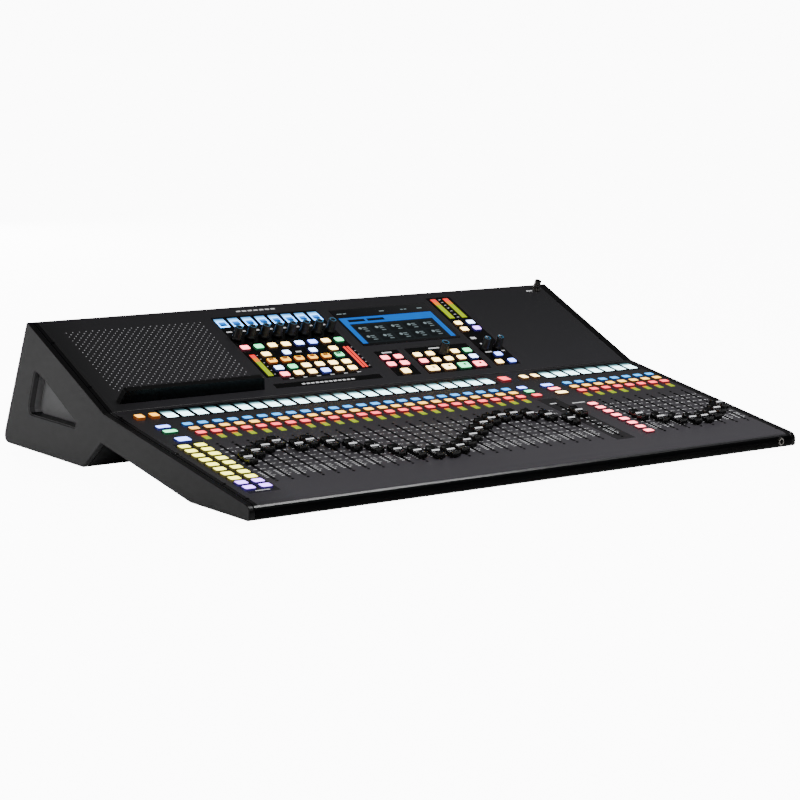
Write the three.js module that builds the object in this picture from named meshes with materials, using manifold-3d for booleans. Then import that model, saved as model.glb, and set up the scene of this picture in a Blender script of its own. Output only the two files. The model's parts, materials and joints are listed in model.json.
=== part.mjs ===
// A digital mixing console: a wedge-shaped steel case between two cheeks, with a shallow fader deck in front and a
// steep upper deck behind it. Millimetres, +X right, +Y to the rear, +Z up, origin on the floor under the middle.
import * as THREE from "three";
import { mergeVertices } from "three/addons/utils/BufferGeometryUtils.js";
import Module from "manifold-3d";

const wasm = await Module();
wasm.setup();

// Case
const WIDTH = 835;
const DEPTH = 574.6;
const FOOT_HEIGHT = 5;
const CHEEK = 8;
const SHEET = 2;
const GAP = 0.3;
const LIP_TOP = 21.5;
const LIP_RADIUS = 12;
const NOSE_RADIUS = 6;
const LOWER_TILT = THREE.MathUtils.degToRad(10.05);
const UPPER_TILT = THREE.MathUtils.degToRad(24.7);
const REAR_LEAN = THREE.MathUtils.degToRad(23.6);
const REAR_RADIUS = 12;
const PLAN_RADIUS = 3;

// Places along the depth, from the front edge
const FRONT_Y = -DEPTH / 2;
const CREASE_Y = FRONT_Y + 318.2;
const TOP_Y = FRONT_Y + 509.6;
const ARCH_FRONT_Y = FRONT_Y + 122;
const ARCH_TOP_Y = FRONT_Y + 324.7;
const ARCH_REAR_Y = FRONT_Y + 369.9;
const ARCH_TOP_Z = FOOT_HEIGHT + 36.8;

const CREASE_Z = LIP_TOP + (CREASE_Y - FRONT_Y) * Math.tan(LOWER_TILT);
const TOP_Z = CREASE_Z + (TOP_Y - CREASE_Y) * Math.tan(UPPER_TILT);
const DECK_HALF = WIDTH / 2 - CHEEK - GAP;
const REAR_Y = TOP_Y + (TOP_Z - FOOT_HEIGHT) * Math.tan(REAR_LEAN);

// Strips: x is across, s runs down the fader deck from the crease to the front
const PITCH = 20.95;
const LEFT_STRIPS = 24;
const RIGHT_STRIPS = 8;
const LEFT_STRIP_X = -341.5;
const RIGHT_STRIP_X = 244.3;
const MAIN_X = 172;
const TRAVEL_TOP_S = 151;
const SLOT_TOP_S = 140;
const SLOT_END_S = 256.5;
const SLOT_WIDTH = 3.2;
const STRIP_KEY_S = [66.5, 82, 97.5];
const STRIP_KEY = [13.4, 9.8];
// How far each fader is pulled down from the top of its travel
const LEFT_REST = [48, 31, 19, 10, 26, 18, 30, 46, 61, 78, 89, 97, 99, 90, 76, 61, 45, 28, 17, 11, 9, 16, 27, 47];
const RIGHT_REST = [59, 77, 87, 92, 92, 85, 71, 54];
const MAIN_REST = 24;

// Keys
const KEY_PROUD = 2.2;
const KEY_CLEARANCE = 0.5;
const WEB_TOP = -SHEET - GAP;
const WEB = 1.5;

// Fader caps and their carriages
const CAP_LENGTH = 26;
const CAP_WIDTH = 13;
const CAP_FOOT = 1.5;
const CAP_HORN = 8.6;
const CAP_RIDGE = 8.1;
const CAP_DIP = 5.6;
const STEM = [1.6, 7];
const STEM_DEPTH = 12;

// Upper deck: v runs down from the rear top edge to the crease
const SCREEN = { left: 19, right: 182, top: 28, bottom: 119, thick: 5, proud: 0.5 };
const LEDGE = { left: -387, right: -181, v: 195, thick: 8, height: 18 };
const LAMP = { x: 390, v: 15, height: 15 };
const ENCODER_X = -154.5;
const ENCODER_PITCH = 20.8;
const ENCODER_V = 77;
const KNOB_HOLE = 4;

// Mains inlet and switch on the rear panel: w runs up the panel from its bottom edge
const INLET = { x: -330, w: 62, width: 28, height: 21, depth: 17, wall: 2 };
const SWITCH = { x: -365, w: 62, width: 14, height: 22, swing: 9.6, sink: 4 };

// Hand hold in each cheek, as places from the front edge and the underside, with corner radii
const RECESS_DEPTH = 17;
const RECESS_WALL = 2.5;
const RECESS = [
  [387, 46, 3],
  [511, 46, 10],
  [490, 102, 5],
  [467, 94, 8],
  [387, 53, 3],
].map(([y, z, r]) => [FRONT_Y + y, FOOT_HEIGHT + z, r]);

// Materials
const finish = (color, roughness, metalness) => new THREE.MeshStandardMaterial({ color, roughness, metalness });
const CHEEK_PAINT = finish(0x4a4a4a, 0.7, 0.1);
const DECK_PAINT = finish(0x3d3d40, 0.55, 0.3);
const UPPER_PAINT = finish(0x242326, 0.5, 0.3);
const BLACK_PLASTIC = finish(0x0c0c0d, 0.4, 0);
const KEY_SILICONE = finish(0xe8e2d4, 0.5, 0);
const GLASS = finish(0x101418, 0.08, 0);
const STEEL = finish(0x9a9a9c, 0.35, 0.9);
const BOARD = finish(0x1e5b3a, 0.6, 0);

// A closed three.js geometry as a solid that can be joined and cut.
function solid(geometry) {
  const bare = geometry.clone();
  bare.deleteAttribute("normal");
  bare.deleteAttribute("uv");
  const merged = mergeVertices(bare, 1e-4);
  const triVerts = new Uint32Array(merged.index.array);
  return new wasm.Manifold(
    new wasm.Mesh({ numProp: 3, vertProperties: merged.attributes.position.array, triVerts }),
  );
}

// A joined or cut solid as a three.js geometry.
function geometryOf(body) {
  const mesh = body.getMesh();
  const geometry = new THREE.BufferGeometry();
  geometry.setAttribute("position", new THREE.BufferAttribute(new Float32Array(mesh.vertProperties), 3));
  geometry.setIndex(new THREE.BufferAttribute(new Uint32Array(mesh.triVerts), 1));
  geometry.computeVertexNormals();
  return geometry;
}

function joinAll(geometries) {
  return geometries.map(solid).reduce((whole, next) => whole.add(next));
}

function placed(name, geometry, material, parent) {
  const mesh = new THREE.Mesh(geometry, material);
  mesh.name = name;
  parent.add(mesh);
  return mesh;
}

// A closed outline from corners [a, b, radius], with each corner of a radius above 0 rounded.
function rounded(corners) {
  const shape = new THREE.Shape();
  corners.forEach(([a, b, r = 0], i) => {
    const corner = new THREE.Vector2(a, b);
    const before = new THREE.Vector2(...corners.at(i - 1)).sub(corner).normalize();
    const after = new THREE.Vector2(...corners[(i + 1) % corners.length]).sub(corner).normalize();
    const reach = r / Math.tan(Math.acos(THREE.MathUtils.clamp(before.dot(after), -1, 1)) / 2);
    const start = corner.clone().addScaledVector(before, reach);
    if (i === 0) shape.moveTo(start.x, start.y);
    else shape.lineTo(start.x, start.y);
    if (r > 0) {
      const end = corner.clone().addScaledVector(after, reach);
      shape.quadraticCurveTo(a, b, end.x, end.y);
    }
  });
  return shape;
}

// The section of a bent sheet: its outer line, then the same line moved to its left by the sheet's thickness.
function bentSheet(corners, thickness) {
  const points = corners.map(([a, b]) => new THREE.Vector2(a, b));
  const last = points.length - 1;
  const inner = corners.map(([, , r = 0], i) => {
    const into = points[Math.max(i, 1)].clone().sub(points[Math.max(i - 1, 0)]).normalize();
    const outOf = points[Math.min(i + 1, last)].clone().sub(points[Math.min(i, last - 1)]).normalize();
    const along = into.clone().add(outOf).normalize();
    const left = new THREE.Vector2(-along.y, along.x);
    const reach = thickness / left.dot(new THREE.Vector2(-into.y, into.x));
    const moved = points[i].clone().addScaledVector(left, reach);
    return [moved.x, moved.y, Math.max(r - thickness, 0)];
  });
  return [...corners, ...inner.reverse()];
}

// A section drawn in Y and Z, drawn out along X.
function prism(shape, left, right, options = {}) {
  const geometry = new THREE.ExtrudeGeometry(shape, {
    depth: right - left,
    bevelEnabled: false,
    curveSegments: 6,
    ...options,
  });
  const turn = new THREE.Matrix4().set(0, 0, 1, left, 1, 0, 0, 0, 0, 1, 0, 0, 0, 0, 0, 1);
  return geometry.applyMatrix4(turn);
}

// A flat outline, or several, drawn out along Z.
function slab(shapes, low, high, options = {}) {
  const geometry = new THREE.ExtrudeGeometry(shapes, {
    depth: high - low,
    bevelEnabled: false,
    curveSegments: 3,
    ...options,
  });
  return geometry.translate(0, 0, low);
}

// A rectangle by its middle and size, and by its edges.
function rectangle(x, y, width, height) {
  return edges(x - width / 2, x + width / 2, y - height / 2, y + height / 2);
}

function edges(left, right, low, high) {
  return rounded([
    [left, low],
    [right, low],
    [right, high],
    [left, high],
  ]);
}

function disc(x, y, radius) {
  const shape = new THREE.Shape();
  shape.absarc(x, y, radius, 0, 2 * Math.PI);
  return shape;
}

// The two sloping decks and the rear panel, each with +Z out of its surface and its origin on its upper edge.
const mixer = new THREE.Group();
const lowerDeck = new THREE.Group();
lowerDeck.position.set(0, CREASE_Y, CREASE_Z);
lowerDeck.rotation.x = LOWER_TILT;
const upperDeck = new THREE.Group();
upperDeck.position.set(0, TOP_Y, TOP_Z);
upperDeck.rotation.x = UPPER_TILT;
const rearFace = new THREE.Group();
rearFace.position.set(0, REAR_Y, FOOT_HEIGHT);
rearFace.rotation.set(REAR_LEAN - Math.PI / 2, 0, Math.PI);
mixer.add(lowerDeck, upperDeck, rearFace);
[lowerDeck, upperDeck, rearFace].forEach((frame) => frame.updateMatrix());

// Places on the section of the case, by name.
const crease = new THREE.Vector2(CREASE_Y, CREASE_Z);
const top = new THREE.Vector2(TOP_Y, TOP_Z);
const downRear = new THREE.Vector2(Math.sin(REAR_LEAN), -Math.cos(REAR_LEAN));
const upDeck = new THREE.Vector2(Math.cos(UPPER_TILT), Math.sin(UPPER_TILT));
const downUpper = new THREE.Vector2(Math.sin(UPPER_TILT), -Math.cos(UPPER_TILT));
const REAR_FOLD = 12;

// Strip positions, left to right.
function stripPlaces() {
  const left = Array.from({ length: LEFT_STRIPS }, (_, i) => LEFT_STRIP_X + i * PITCH);
  const right = Array.from({ length: RIGHT_STRIPS }, (_, i) => RIGHT_STRIP_X + i * PITCH);
  return [...left, ...right];
}

// Keys as [x, distance down the deck, width, height].
function stripKeys() {
  return stripPlaces().flatMap((x) => STRIP_KEY_S.map((s) => [x, s, ...STRIP_KEY]));
}

function leftBlockKeys() {
  const columns = [-387, -365.3];
  const rows = [...Array.from({ length: 8 }, (_, i) => 135.7 + i * 15.46), 258.3, 273.9];
  return [
    [-384.7, 28.5, 11.5, 12.5],
    [-364.7, 28.5, 11.5, 12.5],
    [-375, 67, 18.5, 9.8],
    [-375, 83.5, 18.5, 9.8],
    [-375, 112.5, 18.5, 14],
    ...rows.flatMap((s) => columns.map((x) => [x, s, 14.8, 11])),
  ];
}

function masterKeys() {
  return [
    [167, 29, 15.5, 15],
    [200, 29.4, 11.5, 12.5],
    [219, 29.4, 11.5, 12.5],
    ...STRIP_KEY_S.map((s) => [167, s, 14.5, 9.8]),
    ...STRIP_KEY_S.map((s) => [209.5, s, 18.5, 9.8]),
    ...Array.from({ length: 8 }, (_, i) => [219.5, 148.5 + i * 15.55, 14.5, 9.8]),
  ];
}

function channelKeys() {
  const column = (i) => -155.8 + 20.85 * i;
  const row = (v, columns) => columns.map((i) => [column(i), v, 13.6, 10.4]);
  return [
    ...row(101, [0, 1, 2, 3, 4, 5, 6, 7]),
    ...row(120, [1, 6]),
    [-103.6, 120, 12, 10.4],
    [-62.7, 120, 12, 10.4],
    ...row(135.5, [1, 2, 3, 4, 5, 6]),
    ...row(152.8, [1, 2, 3, 4, 5, 6]),
    ...row(168, [1, 2, 3, 4, 5, 6]),
  ];
}

function navigationKeys() {
  const grid = [84.2, 105.1, 126, 146.9, 167.6];
  return [
    ...[31.3, 52.7].flatMap((x) => [152.8, 168.6].map((v) => [x, v, 13.8, 10.6])),
    [42.7, 186.8, 14, 12.4],
    ...grid.filter((x) => x !== 126).map((x) => [x, 152.8, 13.4, 10.4]),
    ...grid.map((x) => [x, 168.4, 13.4, 10.4]),
    ...[86.9, 113, 139, 165].map((x) => [x, 187, 19, 13.4]),
    ...[198.7, 220.2].flatMap((x) => [86.5, 102.2].map((v) => [x, v, 12.8, 10])),
    [210, 168.6, 12.8, 10],
    [199, 186.8, 12.8, 10],
    [220.4, 186.8, 12.8, 10],
  ];
}

const FADER_DECK_KEYS = [...stripKeys(), ...leftBlockKeys(), ...masterKeys()];
const CHANNEL_KEYS = channelKeys();
const NAVIGATION_KEYS = navigationKeys();

// Knobs as [name, x, v, skirt radius, height].
const KNOBS = [
  ...Array.from({ length: 8 }, (_, i) => [
    `channel_encoder_${i + 1}`,
    ENCODER_X + i * ENCODER_PITCH,
    ENCODER_V,
    7,
    18.5,
  ]),
  ["transport_encoder", 126, 152.8, 7.5, 18.5],
  ["phones_knob", 198.2, 152, 6.5, 18.5],
  ["monitor_knob", 220.5, 152, 6.5, 18.5],
];

function keyHoles(keys) {
  return keys.map(([x, down, width, height]) =>
    rectangle(x, -down, width + 2 * KEY_CLEARANCE, height + 2 * KEY_CLEARANCE),
  );
}

// A silicone keymat: a web under the deck that joins all its keys.
function keymat(keys, webs, holes) {
  const mat = joinAll([
    ...webs.map((web) => slab(web, WEB_TOP - WEB, WEB_TOP)),
    ...keys.map(([x, down, width, height]) => slab(rectangle(x, -down, width, height), WEB_TOP - WEB / 2, KEY_PROUD)),
  ]);
  return geometryOf(holes.reduce((left, hole) => left.subtract(solid(slab(hole, WEB_TOP - 9, WEB_TOP + 1))), mat));
}

function caseSection() {
  return rounded([
    [FRONT_Y, FOOT_HEIGHT, NOSE_RADIUS],
    [ARCH_FRONT_Y, FOOT_HEIGHT],
    [ARCH_TOP_Y, ARCH_TOP_Z],
    [ARCH_REAR_Y, FOOT_HEIGHT],
    [REAR_Y, FOOT_HEIGHT, REAR_RADIUS],
    [TOP_Y, TOP_Z, 3],
    [CREASE_Y, CREASE_Z],
    [FRONT_Y, LIP_TOP, LIP_RADIUS],
  ]);
}

// The outline of the case from above, with its front corners rounded.
function planOutline() {
  const half = WIDTH / 2;
  const back = REAR_Y + 1;
  const front = FRONT_Y - 0.01;
  return rounded([
    [-half, front, PLAN_RADIUS],
    [half, front, PLAN_RADIUS],
    [half, back],
    [-half, back],
  ]);
}

// One cheek: the panel, a pocket behind the hand hold, and the softened edge of its mouth.
function cheek() {
  const outside = WIDTH / 2;
  const inside = outside - CHEEK;
  const edge = 1.2;
  const hold = rounded(RECESS);
  const panel = prism(caseSection(), inside + edge, outside - edge, {
    bevelEnabled: true,
    bevelThickness: edge,
    bevelSize: edge,
    bevelOffset: -edge,
    bevelSegments: 2,
  });
  const boss = prism(hold, outside - RECESS_DEPTH - RECESS_WALL, inside + edge, {
    bevelEnabled: true,
    bevelThickness: 0,
    bevelSize: 0,
    bevelOffset: RECESS_WALL,
    bevelSegments: 1,
  });
  const pocket = prism(hold, outside - RECESS_DEPTH, outside + 1);
  const mouth = prism(hold, outside - 0.01, outside, {
    bevelEnabled: true,
    bevelThickness: 1.5,
    bevelSize: 1.5,
    bevelSegments: 2,
  });
  const plan = slab(planOutline(), -1, TOP_Z + 1, { curveSegments: 5 });
  return solid(panel).add(solid(boss)).subtract(solid(pocket)).subtract(solid(mouth)).intersect(solid(plan));
}

function buildCheeks() {
  const right = geometryOf(cheek());
  placed("right_cheek", right, CHEEK_PAINT, mixer);
  placed("left_cheek", right.clone(), CHEEK_PAINT, mixer).scale.x = -1;
}

function buildBaseTray() {
  const bottom = bentSheet(
    [
      [FRONT_Y + 15, FOOT_HEIGHT],
      [ARCH_FRONT_Y, FOOT_HEIGHT],
      [ARCH_TOP_Y, ARCH_TOP_Z],
      [ARCH_REAR_Y, FOOT_HEIGHT],
      [REAR_Y - 31, FOOT_HEIGHT],
    ],
    SHEET,
  );
  const foot = (x, y) => slab(disc(x, y, 11), 0, FOOT_HEIGHT + 0.5, { curveSegments: 12 });
  const feet = [-330, 330].flatMap((x) => [FRONT_Y + 66, REAR_Y - 60].map((y) => foot(x, y)));
  const tray = joinAll([prism(rounded(bottom), -DECK_HALF, DECK_HALF), ...feet]);
  placed("base_tray", geometryOf(tray), DECK_PAINT, mixer);
}

function buildFaderDeck() {
  const section = bentSheet(
    [
      [CREASE_Y - 0.4, CREASE_Z - 0.4 * Math.tan(LOWER_TILT)],
      [FRONT_Y, LIP_TOP, LIP_RADIUS],
      [FRONT_Y, FOOT_HEIGHT, NOSE_RADIUS],
      [FRONT_Y + 14.5, FOOT_HEIGHT],
    ],
    SHEET,
  );
  const faders = [...stripPlaces(), MAIN_X];
  const slots = faders.map((x) => edges(x - SLOT_WIDTH / 2, x + SLOT_WIDTH / 2, -SLOT_END_S, -SLOT_TOP_S));
  const cutter = slab([...slots, ...keyHoles(FADER_DECK_KEYS)], -8, 4).applyMatrix4(lowerDeck.matrix);
  const plate = solid(prism(rounded(section), -DECK_HALF, DECK_HALF)).subtract(solid(cutter));
  placed("fader_deck", geometryOf(plate), DECK_PAINT, mixer);
}

function buildUpperDeck() {
  const fold = top.clone().addScaledVector(downRear, REAR_FOLD);
  const edge = crease.clone().addScaledVector(upDeck, 0.8);
  const lip = edge.clone().addScaledVector(downUpper, 5);
  const section = bentSheet([[fold.x, fold.y], [top.x, top.y, 3], [edge.x, edge.y, 1], [lip.x, lip.y]], SHEET);
  const glass = edges(SCREEN.left, SCREEN.right, -SCREEN.bottom, -SCREEN.top);
  const shafts = KNOBS.map(([, x, v]) => disc(x, -v, KNOB_HOLE));
  const holes = [glass, ...shafts, ...keyHoles(CHANNEL_KEYS), ...keyHoles(NAVIGATION_KEYS)];
  const cutter = slab(holes, -4, 4).applyMatrix4(upperDeck.matrix);
  const plate = solid(prism(rounded(section), -DECK_HALF, DECK_HALF)).subtract(solid(cutter));
  placed("upper_deck", geometryOf(plate), UPPER_PAINT, mixer);
}

// The rear panel, with the pocket of the mains inlet and the window of the power switch.
function buildRearPanel() {
  const head = top.clone().addScaledVector(downRear, REAR_FOLD + GAP);
  const section = bentSheet([[REAR_Y - 30.5, FOOT_HEIGHT], [REAR_Y, FOOT_HEIGHT, REAR_RADIUS], [head.x, head.y]], SHEET);
  const { x, w, width, height, depth, wall } = INLET;
  const boss = slab(rectangle(-x, w, width + 2 * wall, height + 2 * wall), -depth - wall, -SHEET / 2);
  const pocket = slab(rectangle(-x, w, width, height), -depth, 1);
  const window = slab(rectangle(-SWITCH.x, SWITCH.w, SWITCH.width, SWITCH.height), -SHEET - 1, 1);
  [boss, pocket, window].forEach((geometry) => geometry.applyMatrix4(rearFace.matrix));
  const panel = joinAll([prism(rounded(section), -DECK_HALF, DECK_HALF), boss]);
  placed("rear_panel", geometryOf(panel.subtract(solid(pocket)).subtract(solid(window))), DECK_PAINT, mixer);
}

// The rocker turns about an axis along X, just under the panel's surface.
function buildPowerSwitch() {
  const { x, w, width, swing, sink } = SWITCH;
  const rocker = new THREE.Shape();
  rocker.moveTo(0, 1.5);
  [35, 20, 0, -40, 220, 180, 160, 145].forEach((angle) => {
    const turn = THREE.MathUtils.degToRad(angle);
    rocker.lineTo(swing * Math.cos(turn), swing * Math.sin(turn));
  });
  const geometry = prism(rocker, -width / 2 + 0.6, width / 2 - 0.6);
  const mesh = placed("power_switch", geometry, BLACK_PLASTIC, rearFace);
  mesh.position.set(-x, w, -sink);
  mesh.rotation.x = THREE.MathUtils.degToRad(-10);
}

// One fader: a saddle-shaped cap on a flat stem that runs in a slot of the deck.
function faderGeometry() {
  const half = CAP_LENGTH / 2;
  const side = [
    [half, CAP_FOOT],
    [half - 0.4, CAP_HORN - 0.8],
    [half - 1.2, CAP_HORN],
    [half - 5.4, CAP_DIP + 0.6],
    [half - 8.5, CAP_DIP],
    [1.1, CAP_RIDGE - 0.5],
    [0.5, CAP_RIDGE],
  ];
  const saddle = rounded([...side, ...side.map(([y, z]) => [-y, z]).reverse()]);
  const cap = prism(saddle, -CAP_WIDTH / 2, CAP_WIDTH / 2);
  const stem = slab(rectangle(0, 0, ...STEM), -STEM_DEPTH, CAP_FOOT + 1);
  return geometryOf(joinAll([cap, stem]));
}

function buildFaders() {
  const shape = faderGeometry();
  const rests = [...LEFT_REST, ...RIGHT_REST];
  stripPlaces().forEach((x, i) => {
    const name = `fader_${String(i + 1).padStart(2, "0")}`;
    placed(name, shape.clone(), BLACK_PLASTIC, lowerDeck).position.set(x, -TRAVEL_TOP_S - rests[i], 0);
  });
  placed("main_fader", shape.clone(), BLACK_PLASTIC, lowerDeck).position.set(MAIN_X, -TRAVEL_TOP_S - MAIN_REST, 0);
}

// The bank of fader tracks: one open channel for each stem, on a common board.
function buildFaderBank() {
  const floor = -STEM_DEPTH - 3;
  const channelTop = -SHEET - 3;
  const outline = [[LEFT_STRIP_X - 8, floor]];
  outline.push([RIGHT_STRIP_X + (RIGHT_STRIPS - 1) * PITCH + 8, floor]);
  const faders = [...stripPlaces(), MAIN_X].sort((a, b) => b - a);
  faders.forEach((x) => {
    [
      [x + 4.5, floor + 2],
      [x + 4.5, channelTop],
      [x + 2, channelTop],
      [x + 2, floor + 2.5],
      [x - 2, floor + 2.5],
      [x - 2, channelTop],
      [x - 4.5, channelTop],
      [x - 4.5, floor + 2],
    ].forEach((corner) => outline.push(corner));
  });
  outline.splice(2, 0, [outline[1][0], floor + 2]);
  outline.push([LEFT_STRIP_X - 8, floor + 2]);
  const bank = slab(rounded(outline), 0, SLOT_END_S - SLOT_TOP_S + 6);
  bank.rotateX(Math.PI / 2);
  placed("fader_bank", bank, STEEL, lowerDeck).position.y = 3 - SLOT_TOP_S;
}

function buildKnobs() {
  KNOBS.forEach(([name, x, v, radius, height]) => {
    const profile = [
      [0, -10],
      [3, -10],
      [3, 0.8],
      [radius, 0.8],
      [radius, 3.5],
      [radius - 1.3, 4.5],
      [radius - 1.8, height - 0.8],
      [radius - 2.6, height],
      [0, height],
    ].map((point) => new THREE.Vector2(...point));
    const knob = new THREE.LatheGeometry(profile, 12).rotateX(Math.PI / 2);
    placed(name, knob, BLACK_PLASTIC, upperDeck).position.set(x, -v, 0);
  });
}

function buildKeymats() {
  const stripWeb = edges(-396, 401, -106, -58);
  const leftWeb = edges(-397, -354, -284, -17);
  const masterWeb = edges(155, 228, -70, -15);
  const muteWeb = edges(208, 230, -266, -100);
  const faderDeckMat = keymat(FADER_DECK_KEYS, [stripWeb, leftWeb, masterWeb, muteWeb], []);
  placed("fader_deck_keymat", faderDeckMat, KEY_SILICONE, lowerDeck);

  const channelMat = keymat(CHANNEL_KEYS, [edges(-166, 0, -177, -92)], []);
  placed("channel_keymat", channelMat, KEY_SILICONE, upperDeck);

  const lowerWeb = edges(21, 230, -197, -160);
  const middleWeb = edges(21, 177, -170, -144);
  const bridge = edges(205, 213.6, -165, -100);
  const monitorWeb = edges(189, 230, -110.5, -78);
  const knobHole = disc(126, -152.8, 6);
  const navigationMat = keymat(NAVIGATION_KEYS, [lowerWeb, middleWeb, bridge, monitorWeb], [knobHole]);
  placed("navigation_keymat", navigationMat, KEY_SILICONE, upperDeck);
}

function buildTouchscreen() {
  const { left, right, top: head, bottom, thick, proud } = SCREEN;
  const pane = edges(left + GAP, right - GAP, -bottom + GAP, -head - GAP);
  placed("touchscreen", slab(pane, proud - thick, proud), GLASS, upperDeck);
}

function buildTabletLedge() {
  const { left, right, v, thick, height } = LEDGE;
  const face = rounded([
    [left, GAP],
    [right, GAP],
    [right - 5, height, 4],
    [left + 5, height, 4],
  ]);
  const bar = slab(face, 0, thick).rotateX(Math.PI / 2);
  placed("tablet_ledge", bar, BLACK_PLASTIC, upperDeck).position.y = -v + thick;
}

function buildLampSocket() {
  const profile = [
    [0, GAP],
    [7, GAP],
    [7, 2.2],
    [4.8, 2.6],
    [4.8, LAMP.height],
    [3.4, LAMP.height],
    [3.4, 5],
    [0, 5],
  ].map((point) => new THREE.Vector2(...point));
  const socket = new THREE.LatheGeometry(profile, 16).rotateX(Math.PI / 2);
  placed("lamp_socket", socket, STEEL, upperDeck).position.set(LAMP.x, -LAMP.v, 0);
}

function buildInside() {
  const board = slab(edges(-170, 240, -202, -22), -18, -16.4);
  placed("main_circuit_board", board, BOARD, upperDeck);
  const supply = slab(edges(-385, -215, ARCH_REAR_Y + 25, REAR_Y - 75), FOOT_HEIGHT + SHEET + GAP, FOOT_HEIGHT + 40);
  placed("power_supply", supply, STEEL, mixer);
}

buildBaseTray();
buildRearPanel();
buildUpperDeck();
buildFaderDeck();
buildCheeks();
buildPowerSwitch();
buildFaderBank();
buildInside();
buildFaders();
buildKeymats();
buildKnobs();
buildTouchscreen();
buildTabletLedge();
buildLampSocket();

export default mixer;
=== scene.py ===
"""A digital mixing console with a fader deck, lit keys, small displays and a touchscreen, built on its fixed frame."""

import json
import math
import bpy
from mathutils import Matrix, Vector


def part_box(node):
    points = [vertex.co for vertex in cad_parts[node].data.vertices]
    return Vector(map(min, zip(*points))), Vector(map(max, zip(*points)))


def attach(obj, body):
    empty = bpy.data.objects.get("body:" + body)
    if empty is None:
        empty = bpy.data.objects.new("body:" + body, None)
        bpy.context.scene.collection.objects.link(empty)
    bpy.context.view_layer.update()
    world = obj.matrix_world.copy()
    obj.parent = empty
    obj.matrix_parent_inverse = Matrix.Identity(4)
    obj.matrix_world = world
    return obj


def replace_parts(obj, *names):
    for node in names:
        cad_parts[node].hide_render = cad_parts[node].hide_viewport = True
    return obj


bl_info = {
    "name": "Mixing console",
    "version": (1, 0, 0),
    "blender": (4, 5, 0),
    "location": "3D View > Sidebar > Console",
    "description": "Builds the visible pieces of a mixing console around its frame",
    "category": "Object",
}

import bmesh
import bpy
from bpy.props import FloatProperty, FloatVectorProperty, PointerProperty
from mathutils import Matrix, Vector

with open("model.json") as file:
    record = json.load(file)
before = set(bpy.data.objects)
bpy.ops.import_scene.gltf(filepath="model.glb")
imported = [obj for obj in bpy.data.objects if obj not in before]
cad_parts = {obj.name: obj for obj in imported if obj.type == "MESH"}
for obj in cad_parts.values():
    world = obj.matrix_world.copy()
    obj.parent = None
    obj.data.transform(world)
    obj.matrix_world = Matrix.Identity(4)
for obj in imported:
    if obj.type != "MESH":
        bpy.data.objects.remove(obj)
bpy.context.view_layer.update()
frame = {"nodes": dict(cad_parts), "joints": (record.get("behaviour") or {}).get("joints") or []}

# The frame's own directions. Pieces are modelled in millimetres on a deck and then settled onto it.
MM = 0.001
JOINTS = {joint["name"]: joint for joint in frame["joints"]}
UP_LOWER = Vector(JOINTS["fader_01_slide"]["axis"])
OUT_UPPER = Vector(JOINTS["channel_keymat_press"]["axis"])
LOWER_TILT = math.atan2(UP_LOWER.z, UP_LOWER.y)
UPPER_TILT = math.atan2(-OUT_UPPER.y, OUT_UPPER.z)
REAR_LEAN = math.radians(23.6)

FRONT_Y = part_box("fader_deck")[0].y
FOOT = 0.005
LIP_TOP = 0.0215
LOWER_RUN = 0.3182
UPPER_RUN = 0.1914
CREASE = Vector((0, FRONT_Y + LOWER_RUN, LIP_TOP + LOWER_RUN * math.tan(LOWER_TILT)))
TOP = CREASE + Vector((0, UPPER_RUN, UPPER_RUN * math.tan(UPPER_TILT)))
SLOPE = Vector((0, math.cos(UPPER_TILT), math.sin(UPPER_TILT)))
REAR_FOOT = Vector((0, TOP.y + (TOP.z - FOOT) * math.tan(REAR_LEAN), FOOT))

FLOOR = Matrix.Scale(MM, 4)
LOWER = Matrix.Translation(CREASE) @ Matrix.Rotation(LOWER_TILT, 4, "X") @ FLOOR
UPPER = Matrix.Translation(TOP) @ Matrix.Rotation(UPPER_TILT, 4, "X") @ FLOOR
REAR = (
    Matrix.Translation(REAR_FOOT)
    @ Matrix.Rotation(REAR_LEAN - math.pi / 2, 4, "X")
    @ Matrix.Rotation(math.pi, 4, "Z")
    @ FLOOR
)

# Strips: x is across, and "down" runs down a deck from its rear edge, in millimetres.
PITCH = 20.95
STRIP_X = [-341.5 + PITCH * i for i in range(24)] + [244.3 + PITCH * i for i in range(8)]
SLOT_X = [*STRIP_X, 172]
KEY_ROWS = (66.5, 82, 97.5)
SLOT_SCREW_DOWN = (134, 261)
FADERS = [f"fader_{i + 1:02d}" for i in range(32)] + ["main_fader"]
ENCODERS = [f"channel_encoder_{i + 1}" for i in range(8)] + ["transport_encoder"]
POTS = ["phones_knob", "monitor_knob"]
SCREEN = (19, 182, 28, 119)
KNOB_HEIGHT = 18.5

CAMERA_PLACE = (-1.73444, FRONT_Y - 2.04759, 0.53757)
CAMERA_YAW = math.radians(-36.53)
CAMERA_PITCH = math.radians(-9.29)
CAMERA_ROLL = math.radians(0.66)
CAMERA_LENS = 103.96
BACKDROP_GLOW = 11
ROOM_GLOW = 0.1
PAPER = (0.88, 0.88, 0.88, 1)
WHITE = (1, 1, 1, 1)

# Rows of small things: the channel section's columns of keys, its displays, the grip dots and the rear sockets.
COLUMN_X = [-155.8 + 20.85 * i for i in range(8)]
DISPLAY_PITCH = 20.87
DOT_PITCH = 9.25
DOT_ROWS = 15
SOCKET_PITCH = 31.5
PRINT = 0.06

# Where the paints change: half widths of the decks inside their black edges, and the floor of a hand hold, inside
# which the cheeks get painted light.
LOWER_EDGE = 403.5
UPPER_EDGE = 404
HOLD_FLOOR = 0.409


# ---------------------------------------------------------------- colours and sizes a user would change


def tone(code):
    """A colour in linear light, from the usual six-digit code."""
    parts = [int(code[i : i + 2], 16) / 255 for i in (1, 3, 5)]
    return tuple(p / 12.92 if p <= 0.04045 else ((p + 0.055) / 1.055) ** 2.4 for p in parts)


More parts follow.
